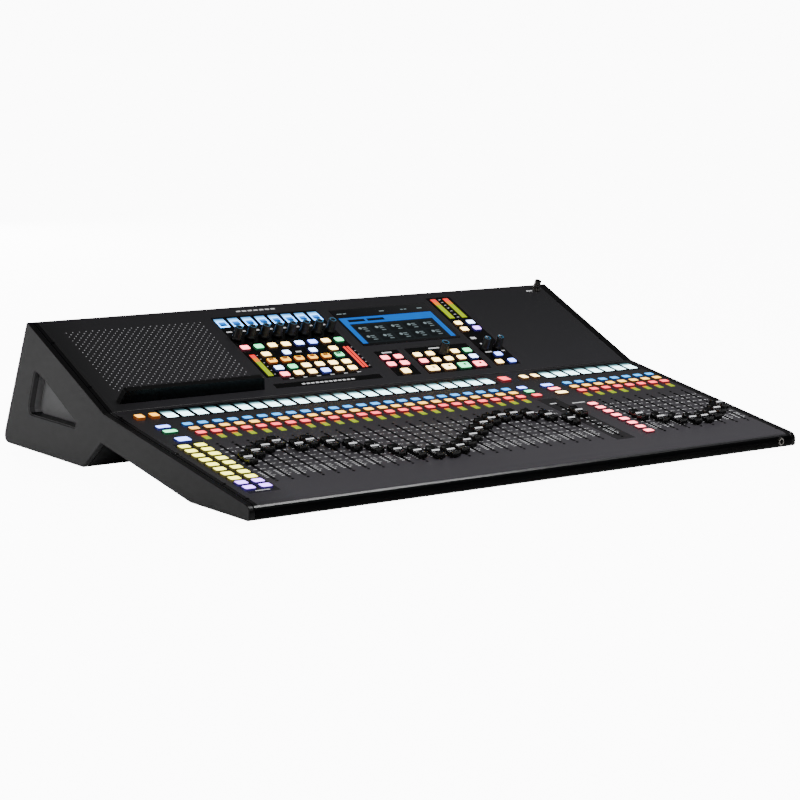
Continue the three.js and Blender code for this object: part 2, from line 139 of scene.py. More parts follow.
def colour_prop(name, description, code):
    return FloatVectorProperty(
        name=name, description=description, subtype="COLOR", size=3, default=tone(code), min=0, max=1
    )


def size_prop(name, description, default, low, high):
    return FloatProperty(name=name, description=f"{description}, in mm", default=default, min=low, max=high)


def glow_prop(name, description, default):
    return FloatProperty(name=name, description=description, default=default, min=0, max=16)


class ConsoleFinishes(bpy.types.PropertyGroup):
    """The paint, plastic and light colours of the console."""

    cheek: colour_prop("Cheek paint", "Matte paint of the two side cheeks", "#414142")
    fader_deck: colour_prop("Fader deck paint", "Powder coat of the front deck", "#444247")
    upper_deck: colour_prop("Upper deck paint", "Powder coat of the rear deck", "#212024")
    film: colour_prop("Overlay", "Black overlays around the key groups", "#030304")
    key_glow: glow_prop("Key glow", "How brightly the keys are lit", 10)
    display_glow: glow_prop("Display glow", "How bright the displays are", 8)


class ConsoleSizes(bpy.types.PropertyGroup):
    """Sizes of the repeated pieces, in millimetres."""

    key_proud: size_prop("Key height", "Height of a key over the deck", 2.5, 0.5, 5)
    key_corner: size_prop("Key corner", "Corner radius of a key", 2.6, 0.5, 5)
    horn: size_prop("Fader horn", "Height of a fader cap's ends", 8.6, 6, 14)
    ridge: size_prop("Fader ridge", "Height of a fader cap's middle", 8.1, 5, 12)
    dot: size_prop("Grip dot", "Radius of a dot of the tablet rest", 0.85, 0.2, 1.5)


def finishes():
    return bpy.context.scene.console_finishes


def sizes():
    return bpy.context.scene.console_sizes


# ---------------------------------------------------------------- shader maths


class Socket:
    """An output of a shader node, so that shader maths reads as ordinary arithmetic."""

    def __init__(self, shader, output):
        self.shader = shader
        self.output = output

    def math(self, operation, *values, clamp=False):
        return self.shader.node("ShaderNodeMath", {"operation": operation, "use_clamp": clamp}, values)

    def __add__(self, other):
        return self.math("ADD", self, other)

    def __sub__(self, other):
        return self.math("SUBTRACT", self, other)

    def __rsub__(self, other):
        return self.math("SUBTRACT", other, self)

    def __mul__(self, other):
        return self.math("MULTIPLY", self, other)

    def __truediv__(self, other):
        return self.math("DIVIDE", self, other)

    def __gt__(self, other):
        return self.math("GREATER_THAN", self, other)

    def __lt__(self, other):
        return self.math("LESS_THAN", self, other)

    def clamped(self):
        return self.math("ADD", self, 0.0, clamp=True)

    def size(self):
        return self.math("ABSOLUTE", self)

    def within(self, low, high):
        return (self > low) * (self < high)


class Nodes:
    """A node tree being made: its first surface shader, its output, and the one way to add a node."""

    def __init__(self, owner, surface, end):
        owner.use_nodes = True
        self.tree = owner.node_tree
        self.surface = self.tree.nodes[surface]
        self.end = self.tree.nodes[end]
        self.shown = Socket(self, self.surface.outputs[0])

    def feed(self, socket, value):
        if isinstance(value, Socket):
            self.tree.links.new(value.output, socket)
        else:
            socket.default_value = value

    def set(self, socket, value):
        if isinstance(value, tuple) and len(value) == 3:
            value = (*value, 1)
        self.feed(self.surface.inputs[socket], value)

    def node(self, kind, settings=None, inputs=(), output=0):
        made = self.tree.nodes.new(kind)
        for key, value in (settings or {}).items():
            if key == "stops":
                self.stops(made.color_ramp, value)
            else:
                setattr(made, key, value)
        pairs = inputs.items() if isinstance(inputs, dict) else enumerate(inputs)
        for key, value in pairs:
            self.feed(made.inputs[key], value)
        return Socket(self, made.outputs[output])

    def covered(self, mask, cover):
        """Shows another surface in place of this one where the mask is 1."""
        self.shown = self.node("ShaderNodeMixShader", {}, {0: mask, 1: self.shown, 2: cover})
        self.feed(self.end.inputs["Surface"], self.shown)

    def stops(self, ramp, stops):
        while len(ramp.elements) < len(stops):
            ramp.elements.new(1.0)
        for element, (place, colour) in zip(ramp.elements, stops):
            element.position = place
            element.color = (*colour, 1)


class Shader(Nodes):
    """A material being made around its Principled shader."""

    def __init__(self, name, roughness, metallic=0.0, **fixed):
        self.material = bpy.data.materials.new(name)
        super().__init__(self.material, "Principled BSDF", "Material Output")
        for socket, value in {"Roughness": roughness, "Metallic": metallic, **fixed}.items():
            self.set(socket.replace("_", " "), value)

    def place(self):
        return self.node("ShaderNodeTexCoord", output="Object")

    def along(self, direction, start=0.0, what=None):
        """How far a point lies along a direction, from a start, in metres."""
        where = what or self.place()
        reach = self.node("ShaderNodeVectorMath", {"operation": "DOT_PRODUCT"}, [where, tuple(direction)], "Value")
        return reach - start

    def facing(self, direction):
        """1 where the surface faces a direction, 0 where it stands along it."""
        return self.along(direction, 0.0, self.node("ShaderNodeTexCoord", output="Normal"))

    def mix(self, factor, first, second):
        values = [v if isinstance(v, Socket) else (*v, 1) for v in (first, second)]
        return self.node("ShaderNodeMix", {"data_type": "RGBA"}, {0: factor, 6: values[0], 7: values[1]}, 2)

    def noise(self, scale, detail=2.0, where=None):
        values = {"Vector": where or self.place(), "Scale": scale, "Detail": detail}
        return self.node("ShaderNodeTexNoise", {}, values)

    def film(self, mask, roughness, mirror=0.22):
        """The smooth black overlay in place of the paint where the mask is 1, also laid on as painted shade where a
        surface turns to the front.
        """
        inputs = {"Base Color": (*finishes().film, 1), "Roughness": roughness, "Specular IOR Level": mirror}
        self.covered(mask.clamped(), self.node("ShaderNodeBsdfPrincipled", {}, inputs))

    def bump(self, height, distance, strength=1.0):
        values = {"Height": height, "Distance": distance, "Strength": strength}
        self.set("Normal", self.node("ShaderNodeBump", {}, values))


def scaled(colour, factor):
    return tuple(min(1.0, part * factor) for part in colour)


def speckled(shader, shade, colour, share=0.15):
    return shader.mix(shade, scaled(colour, 1 - share), scaled(colour, 1 + share))


def textured_paint(name, colour, roughness, grain=1400, depth=0.00006):
    """A fine powder coat: speckled colour, uneven gloss and a pebbled surface."""
    shader = Shader(name, roughness)
    grains = shader.noise(grain, 3)
    clouds = shader.noise(9, 3)
    shade = (grains * 0.5 + clouds * 0.5).clamped()
    shader.set("Base Color", speckled(shader, shade, colour, 0.28))
    shader.set("Roughness", clouds * 0.16 + (roughness - 0.08) + grains * 0.06)
    shader.bump(grains, depth, 0.5)
    return shader, shade


def cheek_paint(name):
    """The cheeks: coarse matte paint, black on top, with painted shade that darkens the thin front end and blacks the
    front-facing nose, and painted light that makes the hand hold lighter.
    """
    colour = tuple(finishes().cheek)
    shader, shade = textured_paint(name, colour, 0.62, 1100, 0.00008)
    # Painted shade: the paint darkens towards the thin front end.
    front = 1 - (shader.along((0, 1, 0), FRONT_Y + 0.02) / 0.42).clamped()
    painted = speckled(shader, shade, colour)
    # Painted light: the floor of the hand hold is painted lighter.
    inside = shader.along((1, 0, 0)).size() < HOLD_FLOOR
    painted = shader.mix(inside, painted, scaled(colour, 3.2))
    shader.set("Base Color", shader.mix(front * 0.9, painted, scaled(colour, 0.25)))
    # Painted shade: the front-facing nose is covered black.
    nose_shade = ((shader.facing((0, -1, 0)) - 0.2) / 0.3).clamped() * (shader.along((0, 1, 0), FRONT_Y) < 0.02)
    top = shader.facing((0, 0, 1)) > 0.8
    shader.film(nose_shade + top, 0.35)
    return shader.material


def panels(shader, direction, start, rectangles):
    """1 inside any of the rectangles [left, right, top, bottom] of a deck, in millimetres."""
    across = shader.along((1, 0, 0)) / MM
    down = shader.along(direction, start) / -MM
    masks = [across.within(l, r) * down.within(t, b) for l, r, t, b in rectangles]
    total = masks[0]
    for mask in masks[1:]:
        total = total + mask
    return total.clamped(), across, down


def fader_deck_paint():
    """The front deck: dark satin paint with black overlays and edges, a painted sheen that lightens it towards the
    front, painted shade at its left end, and painted shade that turns the front lip black round its edge.
    """
    colour = tuple(finishes().fader_deck)
    shader, shade = textured_paint("fader_deck_paint", colour, 0.4, 1500, 0.00004)
    overlays = [(-394, -353, 121, 287), (157, 187.5, 110, 270)]
    plate, across, down = panels(shader, UP_LOWER, UP_LOWER.dot(CREASE), overlays)
    edge = across.size() > LOWER_EDGE
    # Painted shade: the lip turns black as it faces the front.
    lip = ((shader.facing((0, -1, 0)) - 0.34) / 0.4).clamped()
    # Painted sheen: darker near the crease and lighter towards the front, with the gloss following it.
    front = ((down - 20) / 250).clamped()
    # Painted shade: darker towards the left end.
    left = (1 - (across + 400) / 60).clamped()
    painted = speckled(shader, shade, colour, 0.12)
    painted = shader.mix(front, scaled(colour, 0.32), painted)
    shader.set("Base Color", shader.mix(left * 0.6, painted, scaled(colour, 0.3)))
    shader.set("Roughness", 0.42 - front * 0.06 + shade * 0.06)
    shader.film(plate * 0.7 + edge + lip, 0.24, 0.45)
    # Painted shade: the flat front face is covered black and mirrors little.
    shader.film((shader.facing((0, -1, 0)) - 0.7) / 0.2, 0.4, 0.04)
    return shader.material


def upper_deck_paint():
    """The rear deck: near-black satin paint with a painted sheen lighter down the slope and painted shade at the left
    end, and black overlays around the key groups.
    """
    colour = tuple(finishes().upper_deck)
    shader, shade = textured_paint("upper_deck_paint", colour, 0.42, 1500, 0.00004)
    overlays = [
        (-163.5, 1.5, 23.5, 170),
        (-143, -22, 170, 178),
        (-163, 1.5, 185, 195),
        (25, 63.6, 134, 194.6),
        (75, 179.4, 133.4, 196.4),
        (190.5, 231.8, 16.3, 193.4),
    ]
    plate, across, down = panels(shader, SLOPE, SLOPE.dot(TOP), overlays)
    edge = across.size() > UPPER_EDGE
    # Painted sheen: darker near the rear edge, lighter down the slope.
    low = ((down - 30) / 170).clamped()
    # Painted shade: darker towards the left end.
    left = ((across + 405) / 60).clamped()
    painted = speckled(shader, shade, colour)
    painted = shader.mix(low, scaled(colour, 0.7), painted)
    shader.set("Base Color", shader.mix(left, scaled(colour, 0.2), painted))
    shader.set("Roughness", shade * 0.06 + 0.42)
    shader.film(plate + edge, 0.25)
    return shader.material


def moulded(name, code, roughness, grain=900, depth=0.00003, mirror=0.5):
    """A moulded plastic with a spark-eroded grain."""
    colour = tone(code)
    shader = Shader(name, roughness, Specular_IOR_Level=mirror)
    grains = shader.noise(grain, 2)
    clouds = shader.noise(40, 3)
    shader.set("Base Color", shader.mix(clouds, scaled(colour, 0.8), scaled(colour, 1.25)))
    shader.set("Roughness", clouds * 0.14 + (roughness - 0.07))
    shader.bump(grains, depth, 0.4)
    return shader.material


def brushed(name, code, roughness):
    """A bright metal with fine drawn lines."""
    colour = tone(code)
    shader = Shader(name, roughness, 1.0)
    drawn = shader.node("ShaderNodeVectorMath", {"operation": "MULTIPLY"}, [shader.place(), (4000, 300, 4000)])
    lines = shader.noise(1, 3, drawn)
    shader.set("Base Color", shader.mix(lines, scaled(colour, 0.7), colour))
    shader.set("Roughness", lines * 0.22 + (roughness - 0.08))
    shader.bump(lines, 0.00002, 0.4)
    return shader.material


def key_silicone(name, side, top, out):
    """Lit silicone: a pale face where the light comes straight through and deep colour down the sides."""
    shader = Shader(name, 0.42, Specular_IOR_Level=0.3)
    glow = finishes().key_glow
    flat = ((shader.facing(out) - 0.84) / 0.15).clamped()
    bloom = shader.noise(140, 2)
    face = shader.mix(bloom, scaled(top, 0.86 / glow), scaled(top, 1.08 / glow))
    shader.set("Base Color", scaled(side, 1.2))
    shader.set("Emission Color", shader.mix(flat, scaled(side, 1 / glow), face))
    shader.set("Emission Strength", glow)
    shader.bump(shader.noise(2500, 2), 0.00002, 0.3)
    return shader.material


def lit(name, light, roughness=0.3):
    """A lit diffuser with slight unevenness. Its light is in linear parts."""
    shader = Shader(name, roughness, Specular_IOR_Level=0.3)
    strength = max(light)
    colour = tuple(part / strength for part in light)
    uneven = shader.noise(90, 2)
    shader.set("Base Color", scaled(colour, min(0.1, strength / 4)))
    shader.set("Emission Color", shader.mix(uneven, scaled(colour, 0.8), colour))
    shader.set("Emission Strength", strength)
    return shader.material


def display_pane(name, direction, start, height, stops):
    """A small backlit display that fades along its height. Stops are shares of the height and linear light."""
    shader = Shader(name, 0.3, Specular_IOR_Level=0.15)
    glow = finishes().display_glow
    down = shader.along(direction, start) / (-MM * height)
    faded = shader.noise(160, 2) * 0.1 + down - 0.05
    ramp = [(place, scaled(light, 1 / glow)) for place, light in stops]
    colour = shader.node("ShaderNodeValToRGB", {"stops": ramp}, [faded])
    shader.set("Base Color", (0.01, 0.01, 0.012))
    shader.set("Emission Color", colour)
    shader.set("Emission Strength", glow)
    return shader.material


def printed(name, code, glow=0.0):
    """Screen-printed ink, thin and slightly broken up, with a painted glow that makes it brighter than the light on
    it.
    """
    shader = Shader(name, 0.55)
    worn = shader.noise(700, 2)
    colour = shader.mix(worn, scaled(tone(code), 0.7), tone(code))
    shader.set("Base Color", colour)
    shader.set("Emission Color", colour)
    # Painted light: the ink glows, though it is no lamp.
    shader.set("Emission Strength", glow)
    return shader.material


def screen_glass():
    """The touchscreen's dark cover glass."""
    shader = Shader("screen_glass", 0.06, Specular_IOR_Level=0.3, Coat_Weight=0.2, Coat_Roughness=0.03)
    smear = shader.noise(14, 4)
    shader.set("Base Color", shader.mix(smear, (0.003, 0.003, 0.004), (0.007, 0.008, 0.01)))
    shader.set("Roughness", smear * 0.1 + 0.03)
    return shader.material


def floor_paper():
    """The stage's white paper: it looks brightly lit, and throws only its plain diffuse light on the console."""
    shader = Shader("floor_paper", 0.85)
    shader.set("Base Color", PAPER)
    white = {"Base Color": PAPER, "Emission Color": WHITE, "Emission Strength": BACKDROP_GLOW}
    bright = shader.node("ShaderNodeBsdfPrincipled", {}, white)
    shader.covered(shader.node("ShaderNodeLightPath"), bright)
    return shader.material


MATERIALS = {}


def material(make, name, *values):
    """A finish by name, made the first time it is asked for."""
    if name not in MATERIALS:
        MATERIALS[name] = make(name, *values)
    return MATERIALS[name]


def black_plastic():
    return material(moulded, "black_plastic", "#0b0b0c", 0.36)


def black_window():
    """The dark tint of displays and slot linings, which mirrors little."""
    return material(moulded, "black_window", "#010102", 0.3, 900, 0.00001, 0.1)


def nickel():
    return material(brushed, "nickel", "#8d8a86", 0.22)


def zinc():
    return material(brushed, "zinc", "#a9a9ad", 0.3)


def ink():
    # White print with a painted glow.
    return material(printed, "white_ink", "#d9dadc", 0.55)


# ---------------------------------------------------------------- modelling


def select_only(*objects):
    bpy.ops.object.select_all(action="DESELECT")
    for obj in objects:
        obj.select_set(True)
    bpy.context.view_layer.objects.active = objects[0]


class Editing:
    """Edit mode on one object, with faces, edges and vertices picked by a test."""

    MODES = {"verts": (True, False, False), "edges": (False, True, False), "faces": (False, False, True)}

    def __init__(self, obj):
        self.obj = obj

    def __enter__(self):
        select_only(self.obj)
        bpy.ops.object.mode_set(mode="EDIT")
        return self

    def __exit__(self, *stopped):
        bpy.ops.object.mode_set(mode="OBJECT")

    def pick(self, kind, test):
        bpy.context.tool_settings.mesh_select_mode = self.MODES[kind]
        bpy.ops.mesh.select_all(action="DESELECT")
        mesh = bmesh.from_edit_mesh(self.obj.data)
        for element in getattr(mesh, kind):
            if test(element):
                element.select_set(True)
        mesh.select_flush_mode()
        bmesh.update_edit_mesh(self.obj.data)


def upright(edge):
    one, other = (vert.co for vert in edge.verts)
    return abs(one.z - other.z) > 0.9 * (one - other).length


def middle(element):
    return sum((vert.co for vert in element.verts), Vector()) / len(element.verts)


def extrude(x, y, z):
    bpy.ops.mesh.extrude_region_move(TRANSFORM_OT_translate={"value": (x, y, z)})


def apply_place(obj):
    select_only(obj)
    bpy.ops.object.transform_apply(location=True, rotation=True, scale=True)
    return obj


def block(size, centre):
    """A box by its size and centre."""
    bpy.ops.object.select_all(action="DESELECT")
    bpy.ops.mesh.primitive_cube_add(size=1, location=centre)
    bpy.context.object.scale = size
    return apply_place(bpy.context.object)


def slab(left, right, top, bottom, low, high):
    """A box on a deck by its edges: left and right, distances down the deck, and heights."""
    size = (right - left, bottom - top, high - low)
    return block(size, ((left + right) / 2, -(top + bottom) / 2, (low + high) / 2))


def cylinder(radius, low, high, sides=24, centre=(0, 0)):
    bpy.ops.object.select_all(action="DESELECT")
    place = (*centre, (low + high) / 2)
    bpy.ops.mesh.primitive_cylinder_add(vertices=sides, radius=radius, depth=high - low, location=place)
    return apply_place(bpy.context.object)


def bored(obj, wall):
    """Turns a flat piece into a ring with a wall of this width, open through its height."""
    with Editing(obj) as edit:
        edit.pick("faces", lambda face: abs(face.normal.z) > 0.5)
        bpy.ops.mesh.inset(thickness=wall)
        bpy.ops.mesh.bridge_edge_loops()
    return obj


def sunk(obj, wall, depth):
    """Sinks the middle of a piece's top face, inside a rim of this width."""
    with Editing(obj) as edit:
        edit.pick("faces", lambda face: face.normal.z > 0.9)
        bpy.ops.mesh.inset(thickness=wall)
        extrude(0, 0, -depth)
    return obj


def round_upright(obj, radius, segments=3):
    with Editing(obj) as edit:
        edit.pick("edges", upright)
        bpy.ops.mesh.bevel(offset=radius, segments=segments, affect="EDGES")
    return obj


def softened(obj, width, segments=2, angle=40):
    """All edges sharper than an angle, rounded by a bevel modifier that is applied."""
    select_only(obj)
    bevel = obj.modifiers.new("Rounding", "BEVEL")
    bevel.width = width
    bevel.segments = segments
    bevel.limit_method = "ANGLE"
    bevel.angle_limit = math.radians(angle)
    bpy.ops.object.modifier_apply(modifier=bevel.name)
    return obj


def joined(objects):
    select_only(*objects)
    if len(objects) > 1:
        bpy.ops.object.join()
    return bpy.context.view_layer.objects.active


def copied(model, place):
    """A copy of a model, with its own mesh, at a place."""
    twin = model.copy()
    twin.data = model.data.copy()
    bpy.context.scene.collection.objects.link(twin)
    twin.location = place
    return twin


def repeated(model, places):
    """A model copied to all the places and joined into one piece. The model itself is used up."""
    twins = [apply_place(copied(model, place)) for place in places]
    bpy.data.objects.remove(model)
    return joined(twins)


def arrayed(obj, count, step):
    """A row of copies by an array modifier that is applied."""
    select_only(obj)
    row = obj.modifiers.new("Row", "ARRAY")
    row.count = count
    row.use_relative_offset = False
    row.use_constant_offset = True
    row.constant_offset_displace = step
    bpy.ops.object.modifier_apply(modifier=row.name)
    return obj


def painted(obj, *materials):
    for finish in materials:
        obj.data.materials.append(finish)
    return obj


def piece(obj, name, body, deck, angle=35):
    """Names a piece, settles it onto its deck, shades it and lets it ride on its body."""
    obj.name = name
    obj.data.name = name
    obj.matrix_world = deck @ obj.matrix_basis
    apply_place(obj)
    bpy.ops.object.shade_smooth_by_angle(angle=math.radians(angle))
    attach(obj, body)
    return obj


def trim(obj, name, deck):
    """A piece that belongs to the console's own body."""
    return piece(obj, name, "console", deck)


def bar_row(left, width, pitch, count, top, bottom):
    """A row of equal bars, each as [left, right, top, bottom]."""
    return [(left + pitch * i, left + width + pitch * i, top, bottom) for i in range(count)]


def printed_on(deck, name, marks):
    """Flat printed bars [left, right, top, bottom] on a deck, as one piece."""
    bars = joined([slab(*mark, 0, PRINT) for mark in marks])
    trim(painted(bars, ink()), name, deck)


def on_deck(node, deck):
    """The middle of a CAD node as a place on a deck, in millimetres."""
    back = deck.inverted()
    corners = [back @ vert.co for vert in frame["nodes"][node].data.vertices]
    low = Vector(min(c[i] for c in corners) for i in range(3))
    high = Vector(max(c[i] for c in corners) for i in range(3))
    return (low + high) / 2


def refinish(node, finish):
    """Gives a CAD node a new material and leaves its mesh as it is."""
    slots = frame["nodes"][node].data.materials
    slots.clear()
    slots.append(finish)


# ---------------------------------------------------------------- keys

# Light from a key's sides and through its face, in linear parts.
KEY_COLOURS = {
    "sky": ((0.004, 0.016, 0.07), (0.12, 1.3, 3.2)),
    "amber": ((0.05, 0.016, 0.003), (4.8, 2.5, 0.35)),
    "coral": ((0.09, 0.006, 0.01), (4.8, 0.34, 0.44)),
    "yellow": ((0.05, 0.045, 0.008), (5.4, 5.2, 0.7)),
    "green": ((0.002, 0.035, 0.014), (0.7, 4.4, 2)),
    "blue": ((0.008, 0.01, 0.08), (2, 3, 9)),
    "violet": ((0.014, 0.008, 0.07), (3.6, 1.8, 8)),
    "pink": ((0.05, 0.006, 0.012), (9, 1.6, 1.9)),
    "cream": ((0.036, 0.016, 0.006), (9, 6.4, 2.4)),
    "white": ((0.008, 0.008, 0.05), (4.4, 6, 10)),
    "orange": ((0.11, 0.025, 0.002), (5, 2.2, 0.1)),
}


def key_model(width, depth, proud=None):
    """A silicone key: a flange under the deck, straight sides with round corners, and a soft crowned top."""
    height = proud or sizes().key_proud
    key = block((width + 2, depth + 2, 1), (0, 0, -2.9))
    with Editing(key) as edit:
        edit.pick("faces", lambda face: face.normal.z > 0.5)
        bpy.ops.mesh.inset(thickness=1)
        extrude(0, 0, 2.4 + height - 0.5)
        edit.pick("edges", lambda edge: upright(edge) and middle(edge).z > -1.5)
        bpy.ops.mesh.bevel(offset=sizes().key_corner, segments=3, affect="EDGES")
        edit.pick("faces", lambda face: face.normal.z > 0.5 and middle(face).z > 0)
        bpy.ops.mesh.inset(thickness=0.45)
        bpy.ops.transform.translate(value=(0, 0, 0.38))
        bpy.ops.mesh.inset(thickness=1.3)
        bpy.ops.transform.translate(value=(0, 0, 0.12))
    return key


def key_piece(name, colour, keys, deck, body, node):
    """All keys of one colour on one keymat."""
    out = (deck.to_3x3() @ Vector((0, 0, 1))).normalized()
    shapes = []
    for shape in sorted({key[2:] for key in keys}):
        model = key_model(*shape)
        shapes.append(repeated(model, [(x, -down, 0) for x, down, *rest in keys if tuple(rest) == shape]))
    key = f"{colour}_{'lower' if deck is LOWER else 'upper'}"
    obj = painted(joined(shapes), material(key_silicone, key, *KEY_COLOURS[colour], tuple(out)))
    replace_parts(piece(obj, name, body, deck, 50), node)


def fader_deck_keys():
    """Name, colour and keys [x, down, width, depth] of each group on the front deck."""
    small = (13.4, 9.8)
    groups = [
        (f"strip_{use}_keys", colour, [(x, down, *small) for x in STRIP_X])
        for use, colour, down in zip(("select", "solo", "mute"), ("sky", "amber", "coral"), KEY_ROWS)
    ]
    pairs = [(x, 135.7 + 15.46 * i, 14.8, 11) for i in range(8) for x in (-387, -365.3)]
    tail = [(x, down, 14.8, 11) for down in (258.3, 273.9) for x in (-387, -365.3)]
    mutes = [(219.5, 148.5 + 15.55 * i, 14.5, 9.8) for i in range(8)]
    wide, master, page = (18.5, 9.8), (14.5, 9.8), (11.5, 12.5, 3.2)
    right = [(167, 66.5, *master), (209.5, 66.5, *wide)]
    groups += [
        ("page_keys", "orange", [(x, 28.5, 11.5, 12.5, 3.6) for x in (-384.7, -364.7)]),
        ("layer_keys_blue", "blue", [(-375, 67, *wide), (-375, 112.5, 18.5, 14), *right]),
        ("layer_keys_green", "green", [(-375, 83.5, *wide), (167, 82, *master)]),
        ("bank_keys", "yellow", pairs),
        ("shift_keys", "violet", tail),
        ("master_clear_key", "coral", [(167, 29, 15.5, 15, 3.2), (167, 97.5, *master)]),
        ("mix_page_keys", "cream", [(200, 29.4, *page), (219, 29.4, *page), (209.5, 97.5, *wide)]),
        ("mute_group_keys", "pink", [*mutes, (209.5, 82, *wide)]),
    ]
    return groups


def channel_keys():
    """Name, colour and keys of each group in the channel section."""

    def row(down, *columns):
        return [(COLUMN_X[i], down, 13.6, 10.4) for i in columns]

    return [
        ("channel_keys_pink", "pink", row(101, 0) + row(168, 1)),
        ("channel_keys_green", "green", row(101, 1, 7) + row(135.5, 6) + row(152.8, 2)),
        (
            "channel_keys_cream",
            "cream",
            row(101, 2, 3, 6) + row(120, 1, 6) + row(152.8, 3, 4, 5, 6) + row(168, 2, 3, 5, 6),
        ),
        ("channel_keys_white", "white", row(101, 4) + row(152.8, 1) + [(x, 120, 12, 10.4) for x in (-103.6, -62.7)]),
        ("channel_keys_blue", "blue", row(101, 5) + row(168, 4)),
        ("channel_keys_orange", "orange", row(135.5, 1, 2, 3, 4, 5)),
    ]


def navigation_keys():
    """Name, colour and keys of each group right of the channel section."""
    mutes = [(x, down, 13.8, 10.6) for x in (31.3, 52.7) for down in (152.8, 168.6)]
    small, large, right = (13.4, 10.4), (19, 13.4), (12.8, 10)
    high = [(x, 152.8, *small) for x in (84.2, 105.1, 146.9)]
    low = [(x, 168.4, *small) for x in (105.1, 126, 146.9)]
    rest = [(86.9, 187, *large), (113, 187, *large), (42.7, 186.8, 14, 12.4)]
    monitor = [(198.7, 86.5, *right), (198.7, 102.2, *right), (199, 186.8, *right)]
    return [
        ("navigation_keys_pink", "pink", [*mutes, (84.2, 168.4, *small), (165, 187, *large)]),
        ("navigation_keys_cream", "cream", [*high, *low, *rest, *monitor]),
        ("navigation_keys_green", "green", [(167.6, 152.8, *small), (139, 187, *large)]),
        ("navigation_keys_white", "white", [(167.6, 168.4, *small), (220.2, 86.5, *right)]),
        ("navigation_keys_violet", "violet", [(220.2, 102.2, *right)]),
        ("navigation_keys_blue", "blue", [(210, 168.6, *right), (220.4, 186.8, *right)]),
    ]


class ConsoleKeys(bpy.types.Operator):
    """Models the lit silicone keys, one piece for each colour of each keymat"""

    bl_idname = "console.keys"
    bl_label = "Keys"

    def execute(self, context):
        keymats = (
            (fader_deck_keys(), LOWER, "fader_deck_keymat"),
            (channel_keys(), UPPER, "channel_keymat"),
            (navigation_keys(), UPPER, "navigation_keymat"),
        )
        for groups, deck, mat in keymats:
            for name, colour, keys in groups:
                key_piece(name, colour, keys, deck, mat, mat)
        self.key_symbols()
        return {"FINISHED"}

    def key_symbols(self):
        """The dark marks on the four large transport keys, and on the orange keys and the green one beside them."""
        height = sizes().key_proud
        dot = cylinder(2.3, height - 0.1, height + 0.12, 12)
        marks = repeated(dot, [(x + 1.8, -185.4, 0) for x in (86.9, 113, 139, 165)])
        piece(painted(marks, black_plastic()), "transport_symbols", "navigation_keymat", UPPER)
        # Both symbol inks get a small painted glow.
        for name, look, columns in (
            ("channel_symbols", ("amber_ink", "#6b4018", 0.35), COLUMN_X[1:6]),
            ("channel_symbol_green", ("green_ink", "#0d4a30", 0.3), COLUMN_X[6:7]),
        ):
            mark = painted(slab(-4, 4, 131.4, 135.2, height - 0.1, height + 0.08), material(printed, *look))
            marks = repeated(mark, [(x, 0, 0) for x in columns])
            piece(marks, name, "channel_keymat", UPPER)


# ---------------------------------------------------------------- displays and light bars


def display_model(width, height, window, pane, bars):
    """A small display: a dark window, a lit pane [left, right, top, bottom], and marks on it as (edges, finish)."""
    model = slab(-width / 2, width / 2, -height / 2, height / 2, -0.3, 0.25)
    model = painted(softened(model, 0.12, 1), black_window())
    left, right, top, bottom = window
    picture = round_upright(slab(left, right, top, bottom, 0.1, 0.3), 0.6, 2)
    marks = [painted(slab(*edges, 0.28, 0.34), finish) for edges, finish in bars]
    return joined([model, painted(picture, pane), *marks])


